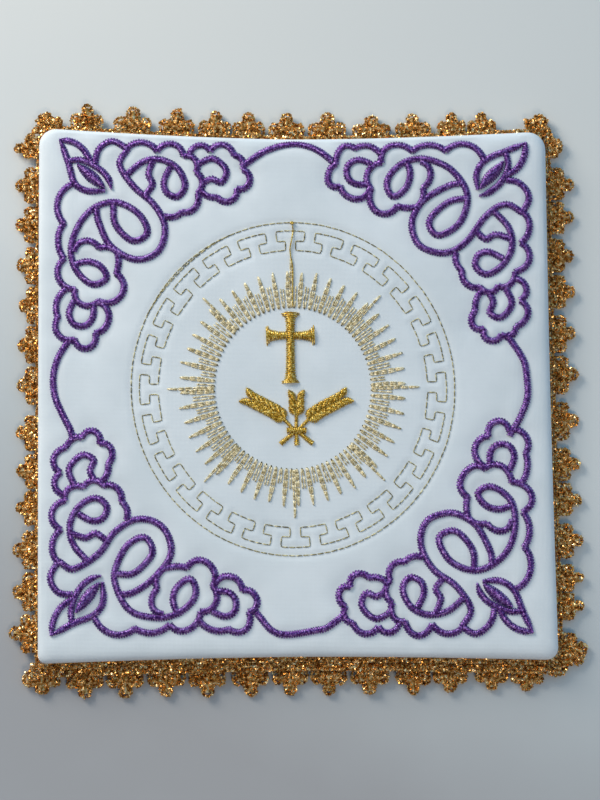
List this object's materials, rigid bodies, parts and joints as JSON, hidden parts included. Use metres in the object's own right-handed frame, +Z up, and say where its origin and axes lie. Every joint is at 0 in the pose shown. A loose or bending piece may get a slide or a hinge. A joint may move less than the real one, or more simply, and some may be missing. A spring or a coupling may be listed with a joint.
{
  "type": "chalice pall",
  "caption": "Stiff padded square of white cloth with purple corner scrollwork, a gold sunburst medallion and a scalloped gold trim sewn round its rim; it covers a chalice's mouth.",
  "frame": {"origin": "middle of the flat underside, on the surface that the pall lies on", "axes": "+X to the right side of the face, +Y to the far side, +Z up out of the embroidered face"},
  "size_m": [0.1787, 0.1861, 0.0078],
  "materials": {
    "white_cotton": "matt",
    "gold_trim": "metallic yarn",
    "purple_thread": "satin thread",
    "gold_thread": "satin thread",
    "pale_gold_thread": "satin thread"
  },
  "bodies": {
    "root": {"cover": "white_cotton", "gold_trim": "gold_trim"}
  },
  "joints": []
}
